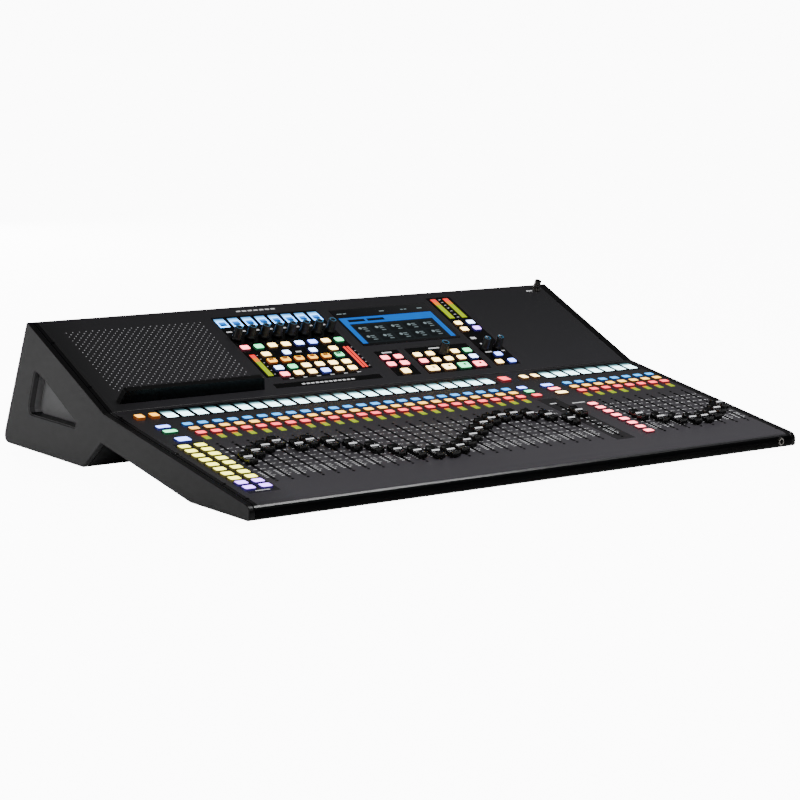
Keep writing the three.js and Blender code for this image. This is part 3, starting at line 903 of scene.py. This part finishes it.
class ConsoleDisplays(bpy.types.Operator):
    """Models the small displays over the strips and over the channel encoders"""

    bl_idname = "console.displays"
    bl_label = "Displays"

    def execute(self, context):
        fade = [
            (0, (0.003, 0.008, 0.01)),
            (0.18, (0.01, 0.04, 0.045)),
            (0.36, (0.6, 1.3, 1.4)),
            (0.5, (4, 6.6, 7.2)),
            (1, (5, 7.6, 8)),
        ]
        pane = display_pane("strip_pane", UP_LOWER, UP_LOWER.dot(CREASE) - 0.0088, 27.7, fade)
        faint = lit("pane_line", (0.9, 1.7, 1.9))
        lines = [((-5, 2.5, -5.4, -4.8), faint), ((-5, 4, 6.6, 7.1), faint), ((-5, 2, 9, 9.5), faint)]
        model = display_model(20.3, 33.5, (-7.5, 7.5, -13.7, 12.7), pane, lines)
        strips = repeated(model, [(x, -22.5, 0) for x in STRIP_X])
        trim(strips, "strip_displays", LOWER)

        fade = [(0, (0.08, 0.28, 0.6)), (0.2, (0.4, 1.5, 3)), (0.35, (0.8, 3, 7)), (1, (0.9, 3.4, 8))]
        blue = display_pane("encoder_pane", SLOPE, SLOPE.dot(TOP) - 0.0278, 21, fade)
        middle_blue = lit("encoder_pane_middle", (0.02, 0.42, 1.6))
        deep = lit("encoder_pane_bar", (0.01, 0.09, 0.36))
        marks = [((-5.4, 5.4, -2, 3.2), middle_blue), ((-5.4, 5.4, 3.2, 7.4), deep)]
        model = display_model(18, 24, (-7.4, 7.4, -10.5, 10.5), blue, marks)
        encoders = repeated(model, [(-154.6 + DISPLAY_PITCH * i, -38.3, 0) for i in range(8)])
        trim(encoders, "encoder_displays", UPPER)
        self.labels()
        return {"FINISHED"}

    def labels(self):
        """Printed name bars: under the encoder displays, by the key blocks and on the title strip."""
        marks = bar_row(-159.5, 8, DISPLAY_PITCH, 8, 58.6, 61.4)
        marks += [(-87.5, -79, 116.5, 119.5), (35.8, 51.6, 137.3, 140.3), (113, 131, 137, 139.8)]
        marks += bar_row(-122, 5, 6.9, 12, 189.2, 191.8) + bar_row(-132, 6, DISPLAY_PITCH, 6, 175.4, 176.8)
        marks += bar_row(-118, 6.5, 9, 7, 11.5, 14.3) + bar_row(372, 2.9, 3.6, 3, 15.6, 18.4)
        marks += [(195.5, 204, 120.4, 125.8), (201, 204.5, 137, 139.6)]
        marks += [(195, 206, 158.2, 160.4), (223.5, 228.5, 158.2, 160.4)]
        marks += [(x, x + 2, down, down + 0.9) for x in (-148, -1) for down in (118, 127, 136, 145, 154, 163)]
        marks += [(209.3, 213, down, down + 1) for down in (22, 29, 36.5, 44.2, 52, 60.8, 68.6)]
        printed_on(UPPER, "upper_deck_labels", marks)
        marks = [(165, 175, 127, 130), (197, 218, 133.4, 135.8), (-383, -364, 280.6, 282.4)]
        printed_on(LOWER, "fader_deck_labels", marks)


def light_bar(x, top, bottom, width, count, bands):
    """A column of lit segments. Bands are (share of the height, material), from the top down."""
    step = (bottom - top) / count
    model = softened(slab(x - width / 2, x + width / 2, top, top + step * 0.82, -0.2, 0.45), 0.15, 1)
    column = arrayed(painted(model, *[finish for _, finish in bands]), count, (0, -step, 0))
    for polygon in column.data.polygons:
        share = (-polygon.center.y - top) / (bottom - top)
        past = [i for i, (limit, _) in enumerate(bands) if share > limit]
        polygon.material_index = min(len(past), len(bands) - 1)
    return column


class ConsoleLightBars(bpy.types.Operator):
    """Models the strip meters, the input meter, the gain reduction bars and the output meters"""

    bl_idname = "console.light_bars"
    bl_label = "Light bars"

    def execute(self, context):
        red = lit("light_red", (2.0, 0.1, 0.07))
        amber = lit("light_amber", (1.5, 0.4, 0.02))
        green = lit("light_green", (0.5, 0.68, 0.01))
        strip = light_bar(0, 104.2, 116.6, 7.6, 4, [(0.24, amber), (1, green)])
        strips = repeated(strip, [(x, 0, 0) for x in STRIP_X])
        trim(strips, "strip_meters", LOWER)
        bars = [
            ("input_meter", (-154.3, 116.4, 167, 7.6, 18), [(0.17, red), (0.34, amber), (1, green)]),
            ("gain_reduction_left", (-11, 116.4, 167, 3.4, 24), [(1, red)]),
            ("gain_reduction_right", (-5.8, 116.4, 167, 3.4, 24), [(1, red)]),
            ("output_meter_left", (200.3, 20.5, 71.6, 8.6, 20), [(0.16, red), (0.32, amber), (1, green)]),
            ("output_meter_right", (221.8, 20.5, 71.6, 8.6, 20), [(0.16, red), (0.32, amber), (1, green)]),
        ]
        for name, shape, bands in bars:
            trim(light_bar(*shape, bands), name, UPPER)
        return {"FINISHED"}


# ---------------------------------------------------------------- faders, knobs and scales


def cap_model():
    """A fader cap: a ridge with a white line between two dips, upturned ends, narrower shoulders, and a flat stem."""
    horn, ridge = sizes().horn, sizes().ridge
    dip = ridge - 2.5
    cap = slab(-6.5, 6.5, -13, 13, 1.2, horn)
    top = horn - ridge
    drops = {0: top, 0.7: top, 1.5: top + 1.1, 3: horn - dip, 5.6: horn - dip + 0.1, 8.6: 1.9, 11: 0.3}
    with Editing(cap) as edit:
        for y in sorted({side * reach for reach in drops for side in (-1, 1)}):
            bpy.ops.mesh.select_all(action="SELECT")
            bpy.ops.mesh.bisect(plane_co=(0, y, 0), plane_no=(0, 1, 0))
        for reach, drop in drops.items():
            edit.pick("verts", lambda v: v.co.z > horn - 0.1 and abs(abs(v.co.y) - reach) < 0.01)
            bpy.ops.transform.translate(value=(0, 0, -drop))
        edit.pick("verts", lambda v: v.co.z > 3)
        bpy.ops.transform.resize(value=(0.88, 0.95, 1))
    cap = softened(cap, 0.4, 2, 34)
    finish = material(moulded, "fader_cap", "#040405", 0.2, 900, 0.00001, 0.4)
    # The cap's white line is print with a painted glow.
    painted(cap, finish, material(printed, "cap_line", "#e4e5e8", 0.7))
    for polygon in cap.data.polygons:
        on_line = -1.2 < polygon.center.y < 0.75 and polygon.normal.z > 0.35
        polygon.material_index = 1 if on_line and polygon.center.z > ridge - 1.1 else 0
    stem = painted(block((1.6, 7, 13.6), (0, 0, -5.2)), material(brushed, "stem_steel", "#8c8c90", 0.3))
    return joined([cap, stem])


class ConsoleFaders(bpy.types.Operator):
    """Models one cap for each fader, each riding on its own body"""

    bl_idname = "console.faders"
    bl_label = "Faders"

    def execute(self, context):
        model = cap_model()
        for node in FADERS:
            place = on_deck(node, LOWER)
            cap = copied(model, (place.x, place.y, 0))
            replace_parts(piece(cap, f"{node}_cap", node, LOWER), node)
        bpy.data.objects.remove(model)
        return {"FINISHED"}


def knob_model(radius, pointer):
    """A knob: a skirt, a gently tapered grip, a thin ring around its top and a dished end."""
    knob = cylinder(radius, 0.8, 3.4, 28)
    with Editing(knob) as edit:
        edit.pick("faces", lambda face: face.normal.z > 0.9)
        bpy.ops.mesh.inset(thickness=radius * 0.17)
        bpy.ops.transform.translate(value=(0, 0, 0.7))
        extrude(0, 0, KNOB_HEIGHT - 4.8)
        bpy.ops.transform.resize(value=(0.93, 0.93, 1))
        bpy.ops.mesh.inset(thickness=0.7)
        bpy.ops.transform.translate(value=(0, 0, 0.5))
        bpy.ops.mesh.inset(thickness=0.9)
        bpy.ops.mesh.inset(thickness=0.5)
        bpy.ops.transform.translate(value=(0, 0, -0.5))
    rubber = material(moulded, "knob_rubber", "#050506", 0.45, 1500, 0.00006, 0.3)
    painted(knob, rubber, material(lit, "knob_ring", (0.06, 0.24, 0.42)))
    inner, outer = radius * 0.83 * 0.93 - 1.6, radius * 0.83 * 0.93 - 0.7
    for polygon in knob.data.polygons:
        reach = Vector(polygon.center.xy).length
        on_top = polygon.normal.z > 0.95 and polygon.center.z > KNOB_HEIGHT - 1.2
        polygon.material_index = 1 if on_top and inner < reach < outer else 0
    parts = [softened(knob, 0.22, 1, 30), painted(cylinder(3, -10, 0.9, 16), rubber)]
    if pointer:
        parts.append(painted(block((0.7, 3.4, 0.5), (0, radius * 0.45, KNOB_HEIGHT - 0.35)), ink()))
    return joined(parts)


class ConsoleKnobs(bpy.types.Operator):
    """Models the encoders and the two level knobs, each riding on its own body"""

    bl_idname = "console.knobs"
    bl_label = "Knobs"

    def execute(self, context):
        for node in ENCODERS + POTS:
            place = on_deck(node, UPPER)
            low, high = (UPPER.inverted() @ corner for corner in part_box(node))
            radius = (high.x - low.x) / 2
            knob = knob_model(radius, node in POTS)
            knob.location = (place.x, place.y, 0)
            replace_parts(piece(apply_place(knob), f"{node}_cap", node, UPPER), node)
        return {"FINISHED"}


SCALE = [(151.6, "10"), (162, "5"), (175, "0"), (188.4, "5"), (199.8, "10"), (210.8, "20"), (222.6, "30")]
SCALE_TAIL = [(231.5, "40"), (236, "50"), (240, ""), (244, "60"), (248.5, "")]


def number(text, size):
    """A printed number as a thin mesh."""
    bpy.ops.object.select_all(action="DESELECT")
    bpy.ops.object.text_add()
    label = bpy.context.object
    label.data.body = text
    label.data.size = size
    label.data.align_x = "CENTER"
    label.data.align_y = "CENTER"
    label.data.resolution_u = 1
    label.data.extrude = 0.02
    bpy.ops.object.convert(target="MESH")
    return bpy.context.object


class ConsoleScales(bpy.types.Operator):
    """Models the printed fader scales and the small screws at both ends of each slot"""

    bl_idname = "console.scales"
    bl_label = "Fader scales"

    def execute(self, context):
        marks = []
        for down, text in SCALE + SCALE_TAIL:
            thick = 1.7 if text == "0" else 1.2
            for left, right in ((-7.2 if text == "0" else -6.4, -2.4), (2.4, 5)):
                marks.append(slab(left, right, down - thick / 2, down + thick / 2, 0, 0.05))
            if text:
                label = number(text, 3.6)
                label.location = (7.9, -down, 0.02)
                marks.append(apply_place(label))
        scales = painted(repeated(joined(marks), [(x, 0, 0) for x in SLOT_X]), ink())
        trim(scales, "fader_scales", LOWER)

        edges = joined([bored(slab(x - 2.1, x + 2.1, 139.4, 257.1, 0, 0.04), 0.6) for x in SLOT_X])
        trim(painted(edges, black_window()), "slot_edges", LOWER)
        places = [(x, -down, 0) for x in SLOT_X for down in SLOT_SCREW_DOWN]
        screws = repeated(screw_model(1.9, 10), places)
        trim(screws, "slot_screws", LOWER)
        return {"FINISHED"}


def screw_model(radius, sides):
    """A low screw head with a socket in it."""
    head = cylinder(radius, -0.2, 0.32, sides)
    with Editing(head) as edit:
        edit.pick("faces", lambda face: face.normal.z > 0.9)
        bpy.ops.mesh.inset(thickness=radius * 0.18)
        bpy.ops.transform.translate(value=(0, 0, 0.12))
        bpy.ops.mesh.inset(thickness=radius * 0.4)
        extrude(0, 0, -0.35)
    return painted(head, material(brushed, "screw_steel", "#1b1b1d", 0.34))


# ---------------------------------------------------------------- touchscreen and tablet rest


class ConsoleTouchscreen(bpy.types.Operator):
    """Models the touchscreen's glass and the bars, panes and symbols that it shows"""

    bl_idname = "console.touchscreen"
    bl_label = "Touchscreen"

    def execute(self, context):
        left, right, top, bottom = SCREEN
        glass = slab(left + 0.4, right - 0.4, top + 0.4, bottom - 0.4, -4.5, 0.5)
        glass = softened(round_upright(glass, 2.2), 0.3, 2)
        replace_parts(trim(painted(glass, screen_glass()), "touchscreen_glass", UPPER), "touchscreen")

        accent = lit("screen_accent", (0.002, 0.17, 0.8))
        ground = lit("screen_ground", (0.007, 0.011, 0.013))
        pale = lit("screen_pale", (0.26, 0.34, 0.36))
        dark = lit("screen_dark", (0.002, 0.004, 0.005))
        parts = [
            painted(slab(22, 176, 50, 66, 0.45, 0.56), accent),
            painted(slab(22, 30, 66, 114, 0.45, 0.56), accent),
            painted(slab(168, 176, 66, 114, 0.45, 0.56), accent),
            painted(slab(30, 168, 66, 114, 0.45, 0.55), ground),
            painted(slab(33, 60, 55, 61, 0.5, 0.6), dark),
            painted(slab(64, 92, 55, 61, 0.5, 0.6), dark),
        ]
        for row, column in [(row, column) for row in range(2) for column in range(5)]:
            parts += self.icon(40 + column * 27, 71.5 + row * 21, pale, dark)
        header = [(26, 34), (36, 41), (96, 104), (132, 136), (138, 142), (160, 168)]
        parts += [painted(slab(a, b, 38.5, 40.2, 0.45, 0.56), pale) for a, b in header]
        trim(joined(parts), "touchscreen_picture", UPPER)
        return {"FINISHED"}

    def icon(self, x, top, pale, dark):
        """One tile: a dark field, a small dial and two lines."""
        tile = painted(slab(x - 9, x + 14, top, top + 18, 0.5, 0.6), dark)
        dial = painted(cylinder(2.6, 0.55, 0.66, 12, (x, -top - 6)), pale)
        lines = [painted(slab(x + 4, x + 11, top + y, top + y + 1.3, 0.55, 0.66), pale) for y in (4, 8, 13)]
        return [tile, dial, *lines]


class ConsoleTabletRest(bpy.types.Operator):
    """Models the staggered grip dots of the tablet rest and the rubber strip on its ledge"""

    bl_idname = "console.tablet_rest"
    bl_label = "Tablet rest"

    def execute(self, context):
        # The grip dots' light grey is given a small painted glow.
        rubber = material(printed, "grip_rubber", "#b9b9bd", 0.12)
        halves = []
        for shift, columns in ((0, 22), (DOT_PITCH / 2, 21)):
            dot = cylinder(sizes().dot, 0, 0.4, 8, (-378 + shift, -32.4 - shift))
            with Editing(dot) as edit:
                edit.pick("faces", lambda face: face.normal.z > 0.9)
                bpy.ops.transform.resize(value=(0.6, 0.6, 1))
            halves.append(arrayed(arrayed(dot, columns, (DOT_PITCH, 0, 0)), DOT_ROWS, (0, -DOT_PITCH, 0)))
        trim(painted(joined(halves), rubber), "grip_dots", UPPER)
        strip = softened(slab(-378, -190, 186.2, 187, 1.5, 14), 0.3, 1)
        lining = material(moulded, "ledge_lining", "#060607", 0.6, 900, 0.00005, 0.25)
        trim(painted(strip, lining), "ledge_lining", UPPER)
        return {"FINISHED"}


# ---------------------------------------------------------------- casing


class ConsoleCasing(bpy.types.Operator):
    """Gives the casing its paints, with their painted light and shade, and adds the screws, the foot pads and the
    front jack
    """

    bl_idname = "console.casing"
    bl_label = "Casing"

    def execute(self, context):
        for node in ("left_cheek", "right_cheek"):
            refinish(node, material(cheek_paint, "cheek_paint"))
        refinish("fader_deck", fader_deck_paint())
        refinish("upper_deck", upper_deck_paint())
        under, _ = textured_paint("tray_paint", tone("#161618"), 0.5)
        refinish("base_tray", under.material)
        refinish("rear_panel", under.material)
        refinish("tablet_ledge", material(moulded, "ledge", "#030304", 0.35, 900, 0.00002, 0.25))
        refinish("power_switch", black_plastic())
        refinish("power_supply", zinc())
        refinish("fader_bank", black_window())
        refinish("lamp_socket", nickel())
        refinish("main_circuit_board", material(moulded, "board", "#174a31", 0.5))
        self.screws()
        self.feet()
        self.front_jack()
        return {"FINISHED"}

    def screws(self):
        lower = [(side * 404.7, -down, 0) for side in (-1, 1) for down in (20, 149, 251, 299)]
        trim(repeated(screw_model(2.4, 12), lower), "fader_deck_screws", LOWER)
        upper = [(side * 405.5, -down, 0) for side in (-1, 1) for down in (51, 153)]
        trim(repeated(screw_model(2.4, 12), upper), "upper_deck_screws", UPPER)

    def feet(self):
        """A rubber pad around each moulded foot."""
        rubber = material(moulded, "foot_rubber", "#161617", 0.75, 600, 0.0001)
        front, rear = FRONT_Y / MM + 66, REAR_FOOT.y / MM - 60
        pad = bored(cylinder(13.5, 0.4, 4.6, 32), 2.2)
        pads = repeated(softened(pad, 0.5, 2), [(x, y, 0) for x in (-330, 330) for y in (front, rear)])
        trim(painted(pads, rubber), "foot_pads", FLOOR)

    def front_jack(self):
        """The phones jack in the front edge: a bright nut around a dark socket."""
        nut = bored(cylinder(5.2, -2.4, 1.2, 6), 1.6)
        ring = bored(cylinder(4.2, -2.4, 2.0, 24), 1.1)
        floor = painted(cylinder(3.2, -2.4, 0.4, 16), black_window())
        jack = joined([painted(nut, nickel()), painted(ring, nickel()), floor])
        front = Matrix.Translation((0.389, FRONT_Y, 0.0135)) @ Matrix.Rotation(math.pi / 2, 4, "X") @ FLOOR
        trim(jack, "phones_jack", front)


# ---------------------------------------------------------------- rear panel


def combo_model(hole):
    """A panel socket: a flange with two screws, a raised rim, and a dark floor inside it."""
    plate = round_upright(block((26, 31, 1.8), (0, 0, 0.9)), 2.5, 2)
    rim = sunk(cylinder(hole + 1.6, 0, 3.2, 20), 1.6, 1.2)
    painted(plate, black_plastic())
    painted(rim, black_plastic())
    pins = [cylinder(1.1, 1.9, 2.5, 8, (x, y)) for x, y in ((-4.5, 3), (4.5, 3), (0, 7))]
    screws = [cylinder(1.7, 1.7, 2.2, 8, (side * 9.6, side * 12.1)) for side in (-1, 1)]
    return joined([plate, rim, *[painted(part, nickel()) for part in [*pins, *screws]]])


class ConsoleRear(bpy.types.Operator):
    """Models the rear sockets, the inlet's lining and contacts, and the vents"""

    bl_idname = "console.rear"
    bl_label = "Rear panel"

    def execute(self, context):
        inputs = [(SOCKET_PITCH * i - 360, 44 + 40 * row, 0) for i in range(16) for row in range(2)]
        trim(repeated(combo_model(10.5), inputs), "input_sockets", REAR)
        outputs = [(160 + SOCKET_PITCH * i, 108, 0) for i in range(5)]
        trim(repeated(combo_model(8.5), outputs), "output_sockets", REAR)
        self.jacks()
        self.network()
        self.inlet()
        self.labels()
        return {"FINISHED"}

    def jacks(self):
        nut = painted(cylinder(6.2, 0, 1.8, 6), nickel())
        collar = painted(sunk(cylinder(4.8, 0, 3.4, 16), 1.4, 1.4), nickel())
        hole = painted(cylinder(3.3, 2.0, 2.1, 12), black_plastic())
        places = [(158 + 21 * i, 44 + 24 * row, 0) for i in range(6) for row in range(2)]
        trim(repeated(joined([nut, collar, hole]), places), "line_jacks", REAR)

    def network(self):
        """Two shielded network sockets and two data sockets."""
        shells = []
        for x, down, width, height in ((300, 44, 17, 15), (300, 68, 17, 15), (282, 44, 7, 13), (282, 68, 7, 13)):
            shell = painted(sunk(block((width, height, 2.4), (0, 0, 1.2)), 1, 1.8), zinc())
            floor = painted(block((width - 2.2, height - 2.2, 0.2), (0, 0, 0.72)), black_window())
            socket = joined([shell, floor])
            socket.location = (x, down, 0)
            shells.append(socket)
        sockets = joined([apply_place(shell) for shell in shells])
        trim(sockets, "network_sockets", REAR)

    def inlet(self):
        """The mains inlet's rim and its three contacts, in the pocket of the rear panel."""
        rim = bored(round_upright(block((34, 27, 1.4), (330, 62, 0.7)), 3), 3.4)
        contacts = [block((2, 6, 14), (330 + x, 62 + y, -9.4)) for x, y in ((-7, -2), (7, -2), (0, 4))]
        inlet = joined([painted(rim, black_plastic()), *[painted(contact, nickel()) for contact in contacts]])
        trim(inlet, "inlet_rim", REAR)
        bezel = bored(round_upright(block((18, 26.5, 1.4), (365, 62, 0.7)), 1.5), 2)
        trim(painted(bezel, black_plastic()), "switch_bezel", REAR)

    def labels(self):
        """Printed lines between the socket groups, and a row of vents along the top as flat matte black patches,
        painted shade in place of their openings.
        """
        lines = [(-376, 130, -up, 0.6 - up) for up in (24, 64, 105)]
        lines += [(150, 312, -up, 0.6 - up) for up in (32, 90, 130)]
        printed_on(REAR, "rear_labels", lines)
        # Painted shade: each vent is a black patch where the opening would be.
        vent = round_upright(block((16, 3, 0.4), (0, 0, 0.1)), 1.4, 3)
        vents = repeated(vent, [(-350 + 22 * i, 140 - 7 * row, 0) for i in range(20) for row in range(2)])
        trim(painted(vents, material(moulded, "void_black", "#020202", 0.9)), "vents", REAR)


# ---------------------------------------------------------------- stage


class ConsoleStage(bpy.types.Operator):
    """Sets up the camera, the pale floor and soft studio light"""

    bl_idname = "console.stage"
    bl_label = "Stage"

    def execute(self, context):
        self.camera(context)
        self.floor()
        self.lights()
        self.world(context)
        return {"FINISHED"}

    def camera(self, context):
        bpy.ops.object.camera_add()
        camera = context.object
        camera.name = "camera"
        turn = Matrix.Rotation(CAMERA_YAW, 4, "Z") @ Matrix.Rotation(math.pi / 2 + CAMERA_PITCH, 4, "X")
        camera.matrix_world = Matrix.Translation(CAMERA_PLACE) @ turn @ Matrix.Rotation(CAMERA_ROLL, 4, "Z")
        camera.data.lens = CAMERA_LENS
        camera.data.sensor_width = 36
        camera.data.clip_end = 100
        context.scene.camera = camera

    def floor(self):
        bpy.ops.object.select_all(action="DESELECT")
        bpy.ops.mesh.primitive_plane_add(size=60)
        floor = bpy.context.object
        floor.name = "floor"
        floor.data.materials.append(floor_paper())

    def lights(self):
        lamps = (
            ("left_side", (-2.6, 0.5, 0.8), (-0.3, 0.1, 0.1), (1.0, 1.0), 18),
            ("front_left", (-1.6, -2.8, 2.2), (0, -0.1, 0.05), (1.4, 1.4), 30),
            ("lip_strip", (0.6, -0.7, 1.7), (0.6, -0.7, 0), (1.2, 0.2), 30),
            ("rear_fill", (0.3, 3.2, 0.7), (0.1, 0.25, 0.1), (1.2, 1.2), 75),
        )
        for name, place, target, (width, depth), power in lamps:
            bpy.ops.object.light_add(type="AREA", location=place)
            lamp = bpy.context.object
            lamp.name = name
            lamp.data.energy = power
            lamp.data.shape = "RECTANGLE"
            lamp.data.size = width
            lamp.data.size_y = depth
            aim = Vector(target) - Vector(place)
            lamp.rotation_euler = aim.to_track_quat("-Z", "Y").to_euler()

    def world(self, context):
        """A white backdrop for the camera and a dimmer room for the object's light and reflections."""
        context.scene.world = bpy.data.worlds.new("studio")
        room = Nodes(context.scene.world, "Background", "World Output")
        room.set("Color", WHITE)
        room.set("Strength", ROOM_GLOW)
        backdrop = room.node("ShaderNodeBackground", {}, {"Color": WHITE, "Strength": BACKDROP_GLOW})
        room.covered(room.node("ShaderNodeLightPath"), backdrop)


# ---------------------------------------------------------------- panel and registration

STEPS = (
    ConsoleStage,
    ConsoleCasing,
    ConsoleKeys,
    ConsoleDisplays,
    ConsoleLightBars,
    ConsoleFaders,
    ConsoleKnobs,
    ConsoleScales,
    ConsoleTouchscreen,
    ConsoleTabletRest,
    ConsoleRear,
)


class ConsolePanel(bpy.types.Panel):
    """Lists the steps that build the console, and its finishes and sizes"""

    bl_idname = "VIEW3D_PT_console"
    bl_label = "Mixing console"
    bl_space_type = "VIEW_3D"
    bl_region_type = "UI"
    bl_category = "Console"

    def draw(self, context):
        for step in STEPS:
            self.layout.operator(step.bl_idname)
        for group in (context.scene.console_finishes, context.scene.console_sizes):
            for name in group.__annotations__:
                self.layout.prop(group, name)


CLASSES = (ConsoleFinishes, ConsoleSizes, *STEPS, ConsolePanel)


def register():
    for cls in CLASSES:
        bpy.utils.register_class(cls)
    bpy.types.Scene.console_finishes = PointerProperty(type=ConsoleFinishes)
    bpy.types.Scene.console_sizes = PointerProperty(type=ConsoleSizes)


def unregister():
    del bpy.types.Scene.console_sizes
    del bpy.types.Scene.console_finishes
    for cls in reversed(CLASSES):
        bpy.utils.unregister_class(cls)


def main():
    register()
    for step in STEPS:
        group, name = step.bl_idname.split(".")
        getattr(getattr(bpy.ops, group), name)()


if __name__ == "__main__":
    main()
